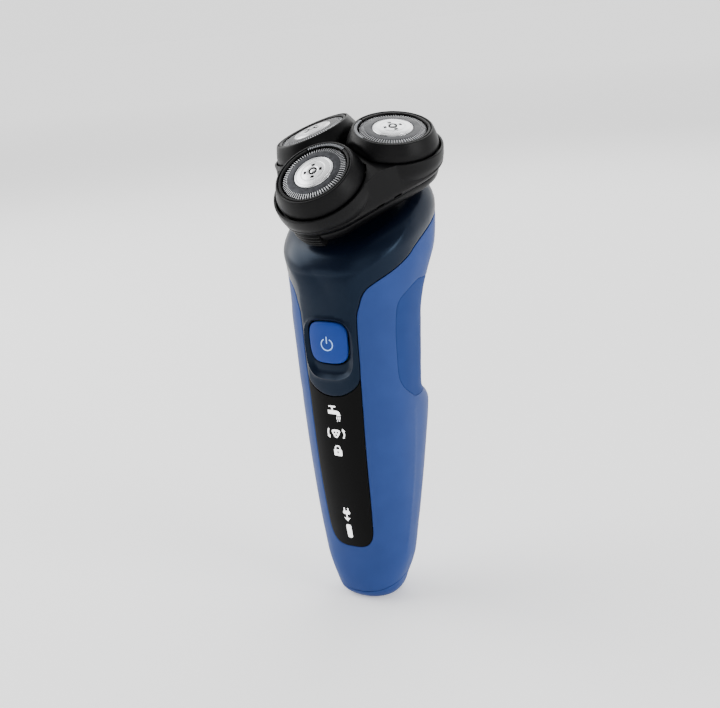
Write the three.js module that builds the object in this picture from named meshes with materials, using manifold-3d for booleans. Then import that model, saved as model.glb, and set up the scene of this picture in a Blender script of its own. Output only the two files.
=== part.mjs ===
// A cordless rotary shaver with three flexing heads. Millimetres, +Z up, the user's side facing -Y.
// The handle is drawn about the centre of its small flat foot, and the finished product is then moved
// so that the origin is the middle of its bounding box's base. The head's own frame leans forward.
import * as THREE from "three";
import { mergeVertices } from "three/addons/utils/BufferGeometryUtils.js";
import Module from "manifold-3d";

const wasm = await Module();
wasm.setup();

// ---------- driving dimensions ----------
const HEAD_TILT = THREE.MathUtils.degToRad(22); // the head leans towards the user
const HEAD_Y = 5.5;
const HEAD_Z = 150.8; // the point where the three guards' planes are centred
const PITCH = 17.1; // from the head's axis to each guard's centre
const SPLAY = THREE.MathUtils.degToRad(15); // each guard leans outwards
const HEAD_ANGLES = [-90, 30, 150].map(THREE.MathUtils.degToRad);
const GAP = 0.3; // between parts that meet
const BASE_MIDDLE_Y = 8.18; // middle of the bounding box, measured from the foot's centre

const WALL = 2.8; // housing wall
const SKIN = 1.4; // display window and grip panel
const FRONT_SQUARENESS = 2.2; // superellipse exponents of the handle's section
const BACK_SQUARENESS = 2.8;
const FRONT_Y = -12.5; // where a section's height is given
const BODY_SIDES = 30;

// Handle sections, bottom to top: height at the front, slope of the section plane, half width, centre y,
// depth in front of that centre and depth behind it.
const TOP_SLOPE = Math.tan(HEAD_TILT);
const SECTIONS = [
  [0, 0, 8.6, 0.6, 7.2, 5.6],
  [0.8, 0, 9.9, 0.5, 8.4, 7.0],
  [2.4, 0, 11.1, 0.4, 9.6, 8.4],
  [6, 0, 12.4, 0.4, 10.2, 10.0],
  [10.5, 0, 14.2, 0.6, 10.5, 11.2],
  [14.5, 0, 15.4, 0.9, 10.7, 11.2],
  [30, 0, 17.15, 2.2, 13.4, 14.2],
  [50, 0, 18.55, 3.6, 16.1, 19.3],
  [63.5, 0, 19.25, 4.0, 16.7, 23.0],
  [66.5, 0, 19.4, 4.1, 16.8, 21.2],
  [71, 0, 19.5, 4.2, 16.9, 15.9],
  [76, 0, 19.8, 4.3, 17.0, 15.5],
  [92, 0, 20.4, 5.0, 17.6, 16.7],
  [97.5, 0.02, 20.9, 5.9, 18.4, 15.4],
  [101, 0.08, 21.2, 7.6, 20.1, 15.6],
  [105.5, 0.12, 21.8, 9.4, 21.9, 18.6],
  [110, 0.2, 22.5, 11.2, 23.6, 23.4],
  [115, 0.32, 22.2, 12.0, 24.4, 25.0],
  [117.7, 0.38, 21.0, 12.0, 23.6, 22.6],
  [119.2, 0.4, 19.4, 12.0, 22.0, 20.4],
  [119.8, TOP_SLOPE, 17.8, 12.0, 20.4, 18.8],
];
const CAVITY_FLOOR = 7.5;
const CAP_SEAM = [[-60, -12.3], [60, 23.7]]; // y, z of the bottom cap's sloping seam

// Heights on the handle's front.
const COVER_LOW = 73.9; // lowest point of the dark cover's tongue
const TONGUE_WIDE = 10.2;
const DISPLAY_LOW = 20.2;
const BUTTON_Z = 91.4;
const BUTTON_WIDE = 15.2;
const BUTTON_TALL = 15.6;
const BUTTON_BACK = -9.9;
const SOCKET_WIDE = 10.4; // the charging socket's outside
const SOCKET_DEEP = 7.2;
const PIN_X = 1.9;

// Heights along the head's axis, from the guards' plane down.
const HANDLE_TOP = -22;
const COLLAR_RADIUS = 11;
const SLEEVE_RADIUS = 7.4;
const CHAMBER_LOW = -18.9;
const CHAMBER_FLOOR = -17.3;
const CHAMBER_TOP = -15.3;
const HOLDER_LOW = -15;
const HOLDER_FACE = -5; // the holder's top, down each guard's axis
const POCKET_FLOOR = -7.9;
const HOLDER_CEILING = -9.3; // the holder's hollow underside, down each guard's axis
const LOBE_PITCH = 15.6;
const HINGE_Y = 22.4;
const HINGE_Z = -15.15;
const KNUCKLE = 1.6;
const HINGE_HALF = 11;
const HINGE_MIDDLE = 7;

const GEAR_MODULE = 1;
const CENTRAL_TEETH = 16;
const DRIVEN_TEETH = 14;
const SPINDLE_PITCH = (GEAR_MODULE * (CENTRAL_TEETH + DRIVEN_TEETH)) / 2;
const GEAR_LOW = -16.9;
const GEAR_HIGH = -14.2;
const PLATE_LOW = -13.9;
const PLATE_HIGH = -12.7;
const POST_PITCH = 12.5;

const GUARD_RADIUS = 10.9;
const CUTTER_BLADES = 9;
const KEEPER_SPOKES = 3;
const MOTOR_RADIUS = 9.5;
const BATTERY_RADIUS = 7;
const BATTERY_Y = 4.4;

// ---------- colours ----------
const plastic = (color, roughness) => new THREE.MeshStandardMaterial({ color, roughness, metalness: 0 });
const metal = (color, roughness) => new THREE.MeshStandardMaterial({ color, roughness, metalness: 1 });
const BLUE = plastic(0x3763a8, 0.5);
const GRIP_BLUE = plastic(0x2f5c9c, 0.65);
const NAVY = plastic(0x1f2a40, 0.45);
const GLOSS_BLACK = plastic(0x0b0b0c, 0.08);
const BLACK = plastic(0x232325, 0.45);
const RUBBER = plastic(0x1a1a1b, 0.85);
const STEEL = metal(0x8a8c90, 0.35);
const SILVER = metal(0xc9ccd0, 0.2);
const BRASS = metal(0xc8a04a, 0.35);
const BOARD = plastic(0x1d5c34, 0.6);
const CELL = plastic(0x3c8f5a, 0.4);
const IVORY = plastic(0xdcd8cc, 0.5);

// ---------- solids ----------
const at = (x, y, z) => new THREE.Matrix4().makeTranslation(x, y, z);
const about = (axis, angle) => new THREE.Matrix4().makeRotationAxis(axis, angle);
const X = new THREE.Vector3(1, 0, 0);
const Y = new THREE.Vector3(0, 1, 0);
const Z = new THREE.Vector3(0, 0, 1);

function solid(geometry, ...moves) {
  const plain = geometry.index ? geometry.toNonIndexed() : geometry.clone();
  plain.deleteAttribute("normal");
  plain.deleteAttribute("uv");
  for (const move of moves) plain.applyMatrix4(move);
  const merged = mergeVertices(plain, 1e-4);
  const mesh = new wasm.Mesh({
    numProp: 3,
    vertProperties: merged.attributes.position.array,
    triVerts: new Uint32Array(merged.index.array),
  });
  return new wasm.Manifold(mesh);
}

function geometryOf(body) {
  const mesh = body.getMesh();
  return new THREE.BufferGeometry()
    .setAttribute("position", new THREE.BufferAttribute(new Float32Array(mesh.vertProperties), 3))
    .setIndex(new THREE.BufferAttribute(new Uint32Array(mesh.triVerts), 1));
}

// Closed skin through rings of points, each counter-clockwise seen from the last ring's side.
function loft(rings) {
  const count = rings[0].length;
  const points = rings.flat().concat(rings[0].reduce((a, b) => a.clone().add(b)).divideScalar(count));
  const last = rings[rings.length - 1];
  points.push(last.reduce((a, b) => a.clone().add(b)).divideScalar(count));
  const [bottom, top] = [points.length - 2, points.length - 1];
  const index = [];
  for (let i = 0; i < count; i++) {
    const next = (i + 1) % count;
    for (let j = 0; j + 1 < rings.length; j++) {
      const [a, b] = [j * count + i, j * count + next];
      index.push(a, b, b + count, a, b + count, a + count);
    }
    const start = (rings.length - 1) * count;
    index.push(bottom, next, i, top, start + i, start + next);
  }
  return new THREE.BufferGeometry().setFromPoints(points).setIndex(index);
}

// Turned body about Z. The profile is [radius, height] pairs, up on the outside and down on the inside.
function turned(profile, sides = 24) {
  const closed = profile[0][0] > 0 ? [...profile, profile[0]] : profile;
  const points = closed.map(([r, h]) => new THREE.Vector2(r, h));
  return new THREE.LatheGeometry(points, sides).rotateX(Math.PI / 2);
}

const rod = (radius, low, high, sides = 16) =>
  turned([[0, low], [radius, low], [radius, high], [0, high]], sides);

const tube = (inner, outer, low, high, sides = 20) =>
  turned([[inner, low], [outer, low], [outer, high], [inner, high]], sides);

const block = (x0, x1, y0, y1, z0, z1) =>
  new THREE.BoxGeometry(x1 - x0, y1 - y0, z1 - z0).translate((x0 + x1) / 2, (y0 + y1) / 2, (z0 + z1) / 2);

function roundedShape(width, height, radius) {
  const [w, h] = [width / 2 - radius, height / 2 - radius];
  const shape = new THREE.Shape();
  shape.absarc(w, h, radius, 0, Math.PI / 2);
  shape.absarc(-w, h, radius, Math.PI / 2, Math.PI);
  shape.absarc(-w, -h, radius, Math.PI, Math.PI * 1.5);
  shape.absarc(w, -h, radius, Math.PI * 1.5, Math.PI * 2);
  return shape;
}

const extruded = (shape, depth, curveSegments = 6) =>
  new THREE.ExtrudeGeometry(shape, { depth, bevelEnabled: false, curveSegments });

// A shape drawn as seen from the front, x across and z up, pushed along Y from y0 to y1.
const fromFront = (shape, y0, y1) => extruded(shape, y1 - y0).rotateX(Math.PI / 2).translate(0, y1, 0);

// A shape drawn as seen from the right, y across and z up, pushed through the whole width.
const fromSide = (points) =>
  extruded(new THREE.Shape(points.map(([y, z]) => new THREE.Vector2(y, z))), 120)
    .applyMatrix4(new THREE.Matrix4().set(0, 0, 1, -60, 1, 0, 0, 0, 0, 1, 0, 0, 0, 0, 0, 1));

const joined = (...bodies) => bodies.reduce((a, b) => a.add(b));
const cut = (body, ...tools) => tools.reduce((a, b) => a.subtract(b), body);
const largest = (body) => body.decompose().sort((a, b) => b.volume() - a.volume())[0];

// ---------- the product ----------
const shaver = new THREE.Group();
const head = new THREE.Group();
head.position.set(0, HEAD_Y, HEAD_Z);
head.rotation.x = HEAD_TILT;
head.updateMatrix();
shaver.add(head);

function add(parent, name, shape, material) {
  const mesh = new THREE.Mesh(shape.isBufferGeometry ? shape : geometryOf(shape), material);
  mesh.name = name;
  parent.add(mesh);
}

// ---------- handle: outside and inside surfaces ----------
function sectionRing([z, slope, halfWidth, centre, front, back], inset) {
  return Array.from({ length: BODY_SIDES }, (_, i) => {
    const angle = (i / BODY_SIDES) * Math.PI * 2;
    const [c, s] = [Math.cos(angle), Math.sin(angle)];
    const power = 2 / (s < 0 ? FRONT_SQUARENESS : BACK_SQUARENESS);
    const depth = (s < 0 ? front : back) - inset;
    const x = (halfWidth - inset) * Math.sign(c) * Math.abs(c) ** power;
    const y = centre + depth * Math.sign(s) * Math.abs(s) ** power;
    return new THREE.Vector3(x, y, z + (y - FRONT_Y) * slope);
  });
}

const HUGE = 90;
const handle = (inset) => solid(loft(SECTIONS.map((section) => sectionRing(section, inset))));
const COARSE = SECTIONS.filter((_, i) => i % 2 === 0);
const roughInside = (inset) => solid(loft(COARSE.map((section) => sectionRing(section, inset))));
const belowTop = (depth) =>
  solid(block(-HUGE, HUGE, -HUGE, HUGE, -HUGE * 2, HANDLE_TOP - depth), head.matrix);
const outside = handle(0);
const cavity = roughInside(WALL)
  .intersect(belowTop(WALL))
  .subtract(solid(block(-HUGE, HUGE, -HUGE, HUGE, -HUGE, CAVITY_FLOOR)));
const shell = outside.subtract(cavity);
const skin = outside.subtract(roughInside(SKIN));
const skinPocket = outside.subtract(roughInside(SKIN + GAP));

// ---------- handle: how the outside is divided ----------
const mirrored = (points) => [...points, ...points.map(([x, z]) => [-x, z]).reverse()];
const outline = (points) => new THREE.Shape(points.map(([x, z]) => new THREE.Vector2(x, z)));

// The dark cover: a tongue down the front that flares out to take in the whole top.
function coverRegion(grow) {
  const side = [
    [3.5, COVER_LOW + 0.4 - grow],
    [7, COVER_LOW + 2.1 - grow],
    [9.8 + grow, COVER_LOW + 5.6],
    [TONGUE_WIDE + grow, 99],
    [11.2 + grow, 103.5],
    [13.4 + grow, 108.4 - grow],
    [20.3, 113.8 - grow],
    [30, 119 - grow],
    [30, 170],
  ];
  const tongue = solid(fromFront(outline(mirrored(side)), -40, 0));
  const crown = [
    [-0.5, 113.5 - grow],
    [12, 120.3 - grow],
    [26, 125.7 - grow],
    [60, 137 - grow],
    [60, 190],
    [-0.5, 190],
  ];
  return tongue.add(solid(fromSide(crown)));
}

function displayRegion(grow) {
  const side = [
    [3, DISPLAY_LOW - grow],
    [5.8 + grow / 2, DISPLAY_LOW + 0.9 - grow / 2],
    [7.6 + grow, DISPLAY_LOW + 3],
    [8.3 + grow, 27],
    [8.9 + grow, 40],
    [9.3 + grow, 60],
    [9.8 + grow, 82],
  ];
  return solid(fromFront(outline(mirrored(side)), -40, 0));
}

// The grip panel across the waist at the back.
const gripRegion = (grow) =>
  solid(fromSide([
    [5.5 - grow, 69.6 - grow],
    [40, 66 - grow],
    [40, 103 + grow],
    [14, 107.5 + grow],
    [8.8, 107.8 + grow],
    [3 - grow, 105 + grow],
    [-1.2 - grow, 101],
    [-2.4 - grow, 94],
    [-2.4 - grow, 80],
    [-0.8 - grow, 75.1],
  ]));

const capRegion = (lift) => {
  const [[y0, z0], [y1, z1]] = CAP_SEAM;
  return solid(fromSide([[y0, -60], [y1, -60], [y1, z1 + lift], [y0, z0 + lift]]));
};

const buttonShape = (grow) => roundedShape(BUTTON_WIDE + grow * 2, BUTTON_TALL + grow * 2, 4.6 + grow);
const buttonPrism = (grow, y0, y1) => solid(fromFront(buttonShape(grow), y0, y1), at(0, 0, BUTTON_Z));
const socketBody = (grow) =>
  solid(extruded(roundedShape(SOCKET_WIDE + grow * 2, SOCKET_DEEP + grow * 2, 2.4), 30, 4), at(0, 0, -10));

// ---------- handle: outside parts ----------
const collarHole = solid(rod(9.6, HANDLE_TOP - 8, HANDLE_TOP + 2), head.matrix);
const frontCover = cut(shell.intersect(coverRegion(0)), buttonPrism(GAP, -40, 0), collarHole);
add(shaver, "front_cover", frontCover, NAVY);

const gripPocket = skinPocket.intersect(gripRegion(GAP));
const openings = [coverRegion(GAP), displayRegion(GAP), gripPocket, capRegion(GAP), socketBody(GAP)];
add(shaver, "main_housing", largest(cut(shell, ...openings)), BLUE);
add(shaver, "rear_grip", skin.intersect(gripRegion(0)), GRIP_BLUE);
add(shaver, "display_window", skin.intersect(displayRegion(0)).subtract(coverRegion(GAP)), GLOSS_BLACK);
add(shaver, "bottom_cap", outside.intersect(capRegion(0)).subtract(socketBody(GAP)), BLUE);

// ---------- charging inlet in the foot ----------
const inletMouth = solid(extruded(roundedShape(7.6, 4.4, 1.8), 7.2, 4), at(0, 0, -1));
const inlet = solid(extruded(roundedShape(SOCKET_WIDE, SOCKET_DEEP, 2.4), 8.6, 4), at(0, 0, 0.4));
const pinHole = (x) => solid(rod(0.8, 0, 12, 12), at(x, 0, 0));
add(shaver, "charging_socket", cut(inlet, inletMouth, pinHole(-PIN_X), pinHole(PIN_X)), BLACK);
add(shaver, "charge_pin_1", rod(0.5, 1.6, 11, 12).translate(-PIN_X, 0, 0), BRASS);
add(shaver, "charge_pin_2", rod(0.5, 1.6, 11, 12).translate(PIN_X, 0, 0), BRASS);

// ---------- inside the handle ----------
const cell = [
  [0, 26],
  [BATTERY_RADIUS, 26],
  [BATTERY_RADIUS, 71.5],
  [6.5, 72],
  [2.6, 72],
  [2.6, 73.2],
  [0, 73.2],
];
add(shaver, "battery", turned(cell, 16).translate(0, BATTERY_Y, 0), CELL);
const cheek = (side) => solid(block(side * 8.2 - 0.8, side * 8.2 + 0.8, -3.2, 6.5, 30, 68));
const cradle = joined(solid(block(-9, 9, -4.4, -2.9, 22, 99)), cheek(-1), cheek(1));
add(shaver, "inner_frame", cradle, BLACK);
add(shaver, "circuit_board", block(-8.5, 8.5, -6.2, -4.7, 29, 98), BOARD);
add(shaver, "light_guide", block(-6.8, 6.8, -8.4, -6.5, 27, 70), IVORY);
const switchBody = joined(
  solid(block(-3, 3, -7.7, -6.5, BUTTON_Z - 3, BUTTON_Z + 3)),
  solid(rod(1.6, 0, 0.8, 16), about(X, Math.PI / 2), at(0, -7.4, BUTTON_Z)),
);
add(shaver, "power_switch", switchBody, BLACK);
const sealRing = solid(tube(2.2, 5.2, 0, 0.6, 16), about(X, Math.PI / 2), at(0, -8.5, BUTTON_Z));
add(shaver, "button_seal", sealRing, RUBBER);
const button = handle(0.15)
  .intersect(buttonPrism(0, -40, BUTTON_BACK))
  .add(solid(rod(1.5, 0, 1.4, 16), about(X, -Math.PI / 2), at(0, BUTTON_BACK - 0.4, BUTTON_Z)));
add(shaver, "power_button", button, BLUE);

const can = [
  [0, -40],
  [8.6, -40],
  [MOTOR_RADIUS, -39.2],
  [MOTOR_RADIUS, -27.5],
  [3, -27.5],
  [3, -26],
  [1.5, -26],
  [1.5, -30.6],
  [0, -30.6],
];
add(head, "motor_can", turned(can, 20), STEEL);
const screwHole = (x, radius) => solid(rod(radius, -30, -20, 12), at(x, 0, 0));
const BRACKET_SCREW_X = 11.3;
const bracketHoles = [-1, 1].map((side) => screwHole(side * BRACKET_SCREW_X, 1.1));
const bracket = cut(solid(tube(3.4, 13.2, -27.2, -25.7, 16)), ...bracketHoles);
add(head, "motor_bracket", bracket, STEEL);

// A pan-headed screw standing on its tip, its head's underside at z = 0, with one driving slot.
function screw(headRadius, headHeight, length) {
  const shank = headRadius / 2;
  const profile = [
    [0, -length],
    [shank, -length],
    [shank, 0],
    [headRadius, 0],
    [headRadius * 0.8, headHeight],
    [0, headHeight],
  ];
  const slot = block(-headRadius, headRadius, -0.25, 0.25, headHeight * 0.5, headHeight + 1);
  return solid(turned(profile, 10)).subtract(solid(slot));
}
[-1, 1].forEach((side, i) => {
  const placed = screw(1.4, 1, 1.9).transform(
    at(side * BRACKET_SCREW_X, 0, -27.5).multiply(about(X, Math.PI)).toArray(),
  );
  add(head, `bracket_screw_${i + 1}`, placed, STEEL);
});

const collar = [
  [7.7, -25],
  [9.3, -25],
  [9.3, -21.7],
  [COLLAR_RADIUS, -21.7],
  [COLLAR_RADIUS, -19.8],
  [10.6, -19.3],
  [7.7, -19.3],
];
add(head, "neck_collar", turned(collar, 20), BLACK);
add(head, "shaft_seal", tube(1.6, SLEEVE_RADIUS, -24.8, -23), RUBBER);
const SHAFT_TIP = -16.2;
const shaft = [[0, -30.2], [1.2, -30.2], [1.2, SHAFT_TIP - 0.4], [0.8, SHAFT_TIP], [0, SHAFT_TIP]];
add(head, "drive_shaft", turned(shaft, 16), STEEL);

// ---------- the three lobes ----------
const LOBE_STEPS = 5;

// A rounded triangle with a corner of the given radius under each guard.
function lobeRing(z, radius, pitch = LOBE_PITCH) {
  return HEAD_ANGLES.flatMap((angle) =>
    Array.from({ length: LOBE_STEPS }, (_, i) => {
      const turn = angle - Math.PI / 3 + (i / (LOBE_STEPS - 1)) * ((Math.PI * 2) / 3);
      const x = pitch * Math.cos(angle) + radius * Math.cos(turn);
      const y = pitch * Math.sin(angle) + radius * Math.sin(turn);
      return new THREE.Vector3(x, y, z);
    }),
  );
}
const lobed = (rings, pitch) => solid(loft(rings.map(([z, radius]) => lobeRing(z, radius, pitch))));

// From a guard's own frame, z along its axis and x outwards, to the head's frame.
const unitMatrix = (angle) => about(Z, angle).multiply(at(PITCH, 0, 0)).multiply(about(Y, SPLAY));

// All that lies lower than a height down every guard's axis.
const belowGuards = (height) =>
  HEAD_ANGLES.map((angle) => solid(block(-HUGE, HUGE, -HUGE, HUGE, -HUGE, height), unitMatrix(angle)))
    .reduce((a, b) => a.intersect(b));

// One guard's third of the head, standing off the planes midway to its neighbours.
function third(angle, standOff) {
  const reach = standOff / Math.sin(Math.PI / 3);
  const [x, y] = [reach * Math.cos(angle), reach * Math.sin(angle)];
  const corner = (turn) => [x + HUGE * Math.cos(angle + turn), y + HUGE * Math.sin(angle + turn)];
  const wedge = outline([[x, y], corner(-Math.PI / 3), corner(0), corner(Math.PI / 3)]);
  return solid(extruded(wedge, HUGE), at(0, 0, -HUGE / 2));
}

const knuckleBar = (radius, x0, x1) =>
  solid(rod(radius, x0, x1, 16), about(Y, Math.PI / 2), at(0, HINGE_Y, HINGE_Z));
const outerKnuckles = (radius, spread) =>
  joined(
    knuckleBar(radius, HINGE_MIDDLE + GAP - spread, HINGE_HALF + spread),
    knuckleBar(radius, -HINGE_HALF - spread, -HINGE_MIDDLE - GAP + spread),
  );
const pinBore = knuckleBar(1, -20, 20);

// ---------- shaving unit: hair chamber and gears ----------
const chamberOutside = joined(
  lobed([[CHAMBER_LOW, 10.2], [-17.6, 11.7], [CHAMBER_TOP, 12.9]]),
  lobed([[CHAMBER_FLOOR, 11.1], [-13.8, 11.1]]),
);
const latchNotch = solid(block(-5.4, 5.4, -60, -23.3, -30, -15.5));
const rods = (radius, low, high, sides, pitch, turn) =>
  HEAD_ANGLES.map((angle) => solid(rod(radius, low, high, sides), at(pitch, 0, 0), about(Z, angle + turn)));
const posts = rods(1.9, CHAMBER_FLOOR - 0.5, -14.2, 14, POST_PITCH, Math.PI / 3);
const postHoles = rods(1.1, -16.6, -10, 12, POST_PITCH, Math.PI / 3);
const chamber = cut(
  joined(
    chamberOutside.subtract(lobed([[CHAMBER_FLOOR, 9.9], [-13, 9.9]])),
    ...posts,
    solid(block(-HINGE_MIDDLE, HINGE_MIDDLE, 17.5, HINGE_Y, HINGE_Z - KNUCKLE, CHAMBER_TOP)),
    knuckleBar(KNUCKLE, -HINGE_MIDDLE, HINGE_MIDDLE),
  ),
  ...postHoles,
  outerKnuckles(KNUCKLE + 0.4, GAP / 2),
  pinBore,
  latchNotch,
  solid(rod(3.5, -30, -10)),
);
add(head, "hair_chamber", chamber, BLACK);
add(head, "coupling_sleeve", tube(5.2, SLEEVE_RADIUS, -22.4, CHAMBER_LOW - GAP, 20), BLACK);
const pin = rod(0.8, -HINGE_HALF, HINGE_HALF, 12).rotateY(Math.PI / 2);
add(head, "hinge_pin", pin.translate(0, HINGE_Y, HINGE_Z), STEEL);

const spindleHoles = rods(2, -20, -10, 16, SPINDLE_PITCH, 0);
const plateBlank = lobed([[PLATE_LOW, 7.6], [PLATE_HIGH, 7.6]], SPINDLE_PITCH);
const plate = cut(plateBlank, ...spindleHoles, ...postHoles);
add(head, "gear_plate", plate, STEEL);
HEAD_ANGLES.forEach((angle, i) => {
  const placed = about(Z, angle + Math.PI / 3).multiply(at(POST_PITCH, 0, PLATE_HIGH + GAP));
  add(head, `plate_screw_${i + 1}`, screw(1.6, 1.1, 3.6).transform(placed.toArray()), STEEL);
});

// Straight-flanked teeth, thin enough to run freely; a tooth is centred on the start angle.
function gearShape(teeth, start) {
  const pitchRadius = (teeth * GEAR_MODULE) / 2;
  const [root, tip] = [pitchRadius - 1.05 * GEAR_MODULE, pitchRadius + 0.8 * GEAR_MODULE];
  const step = (Math.PI * 2) / teeth;
  const corners = [[root, -0.26], [tip, -0.11], [tip, 0.11], [root, 0.26]];
  const points = Array.from({ length: teeth }, (_, i) =>
    corners.map(([radius, part]) => {
      const angle = start + (i + part) * step;
      return new THREE.Vector2(radius * Math.cos(angle), radius * Math.sin(angle));
    }),
  );
  return new THREE.Shape(points.flat());
}
const CENTRAL_START = HEAD_ANGLES[0];
const toothed = (teeth, start) =>
  solid(extruded(gearShape(teeth, start), GEAR_HIGH - GEAR_LOW), at(0, 0, GEAR_LOW));
const centralGear = cut(
  joined(toothed(CENTRAL_TEETH, CENTRAL_START), solid(rod(3, -18.6, GEAR_LOW + 1))),
  solid(rod(1.7, -20, -15.5, 16)),
);
add(head, "central_gear", centralGear, IVORY);

// A driven gear starts turned so that a gap faces the central gear's tooth.
function drivenStart(angle) {
  const phase = (((angle - CENTRAL_START) / (Math.PI * 2)) * CENTRAL_TEETH) % 1;
  return angle + Math.PI - (0.5 - phase) * ((Math.PI * 2) / DRIVEN_TEETH);
}
const spindle = [[0, -17.1], [1.6, -17.1], [1.6, -8.6], [0.8, -8], [0.8, -6.2], [0.6, -6], [0, -6]];
HEAD_ANGLES.forEach((angle, i) => {
  const gear = joined(toothed(DRIVEN_TEETH, drivenStart(angle)), solid(turned(spindle, 16))).translate([
    SPINDLE_PITCH * Math.cos(angle),
    SPINDLE_PITCH * Math.sin(angle),
    0,
  ]);
  add(head, `drive_gear_${i + 1}`, gear, IVORY);
});

// The ribbed latch that frees the holder.
const latchSide = [
  [-24.8, -15.8],
  [-28.2, -15.8],
  [-28.3, -16.5],
  [-27.7, -16.8],
  [-28.1, -17.1],
  [-28.1, -17.7],
  [-27.4, -18],
  [-27.7, -18.3],
  [-27.6, -18.9],
  [-26.9, -19.2],
  [-27.1, -19.5],
  [-26.7, -20.2],
  [-24.8, -20.2],
];
const latch = solid(fromSide(latchSide)).intersect(solid(block(-5, 5, -40, 0, -40, 0)));
add(head, "release_button", latch, BLACK);

// ---------- holder that swings open ----------
const pocketProfile = [[0, POCKET_FLOOR], [14.4, POCKET_FLOOR], [15, -6.4], [15, 6], [0, 6]];
const pockets = HEAD_ANGLES.map((angle) =>
  solid(turned(pocketProfile, 20), unitMatrix(angle)).intersect(third(angle, 0.5)),
);
const driveHoles = HEAD_ANGLES.map((angle) => solid(rod(6.5, -14, -5, 12), unitMatrix(angle)));
const gimbalPost = (y) => block(-0.8, 0.8, y - 0.5, y + 0.5, -8.4, -6.6);
const gimbalPosts = HEAD_ANGLES.flatMap((angle) =>
  [-12.05, 12.05].map((y) => solid(gimbalPost(y), unitMatrix(angle))),
);
const holderWall = lobed([[HOLDER_LOW, 13], [-12.2, 15], [-9, 16.2], [2, 14.8]]);
const holderOutside = holderWall.intersect(belowGuards(HOLDER_FACE));
const holderRoom = lobed([[-16, 11.5], [-12.2, 13.4], [-9, 14.6], [2, 13.6]]);
const hollow = holderRoom.intersect(belowGuards(HOLDER_CEILING));
const lug = (x0, x1) => solid(block(x0, x1, 19.2, HINGE_Y, HOLDER_LOW, HINGE_Z + KNUCKLE));
const holder = cut(
  joined(
    cut(holderOutside, ...pockets, hollow),
    ...gimbalPosts,
    lug(HINGE_MIDDLE + GAP, HINGE_HALF),
    lug(-HINGE_HALF, -HINGE_MIDDLE - GAP),
    outerKnuckles(KNUCKLE, 0),
  ),
  knuckleBar(KNUCKLE + 0.4, -HINGE_MIDDLE - GAP, HINGE_MIDDLE + GAP),
  pinBore,
  ...driveHoles,
  solid(rod(4.6, -3.8, 10)),
);
add(head, "holder_frame", holder, BLACK);

// ---------- three flexing shaving heads ----------
const flexProfile = [
  [12.9, -6.4],
  [13.7, -6.4],
  [14.6, -4.8],
  [13.8, -2.2],
  [12.3, 0.3],
  [11.3, 0.1],
  [11.3, -3.2],
  [12.9, -3.4],
];
const guardProfile = [
  [0, -1],
  [7.1, -1],
  [7.1, -0.5],
  [10.3, -0.5],
  [10.3, -3.2],
  [GUARD_RADIUS, -3.2],
  [GUARD_RADIUS, -0.2],
  [6.8, 0.15],
  [6.8, -0.35],
  [0, -0.35],
];
const discProfile = [[0, -0.05], [6.45, -0.05], [6.45, 0.15], [4.4, 0.65], [0, 0.8]];
const cutterProfile = [
  [0, -4.5],
  [2.1, -4.5],
  [2.1, -6.8],
  [3, -6.8],
  [3, -2.6],
  [9.6, -2.6],
  [9.6, -1.9],
  [3, -1.4],
  [0, -1.4],
];
const stub = (x0, x1, turn) => solid(block(x0, x1, -0.5, 0.5, -6.1, -5.1), about(Z, turn));
const blade = (turn) => solid(block(7.6, 9.5, -0.4, 0.4, -2.4, -0.85), about(Z, turn));
const evenTurns = (count) => Array.from({ length: count }, (_, i) => (i / count) * Math.PI * 2);
const spoke = (turn) => solid(block(3.8, 9.2, -0.9, 0.9, -4.6, -3.8), about(Z, turn));

HEAD_ANGLES.forEach((angle, i) => {
  const unit = new THREE.Group();
  unitMatrix(angle).decompose(unit.position, unit.quaternion, unit.scale);
  head.add(unit);
  const number = i + 1;
  const flexRing = solid(turned(flexProfile, 24), unitMatrix(angle)).intersect(third(angle, 1.1));
  add(head, `flex_ring_${number}`, flexRing, BLACK);
  const gimbal = joined(
    solid(tube(11.6, 12.5, -6.3, -4.9, 18)),
    stub(12.2, 12.75, 0),
    stub(-12.75, -12.2, 0),
  );
  add(unit, `gimbal_ring_${number}`, gimbal, BLACK);
  add(unit, `cutter_guard_${number}`, turned(guardProfile, 24), STEEL);
  add(unit, `cap_disc_${number}`, turned(discProfile, 20), SILVER);
  const cutter = joined(solid(turned(cutterProfile, 14)), ...evenTurns(CUTTER_BLADES).map(blade));
  add(unit, `rotary_cutter_${number}`, cutter, STEEL);
  const keeper = joined(
    solid(tube(8.8, 10.7, -4.6, -3.5, 16)),
    solid(tube(3.4, 4.4, -4.6, -3.8, 10)),
    ...evenTurns(KEEPER_SPOKES).map(spoke),
  );
  add(unit, `retaining_ring_${number}`, keeper, BLACK);
});

shaver.position.y = -BASE_MIDDLE_Y;
const product = new THREE.Group();
product.add(shaver);

export default product;
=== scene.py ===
"""A cordless rotary shaver with a dark front cover, a lit display strip and three flexing heads."""

import math
from contextlib import contextmanager

import bmesh
import bpy
import numpy as np
from mathutils import Matrix, Vector
from mathutils.geometry import delaunay_2d_cdt


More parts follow.
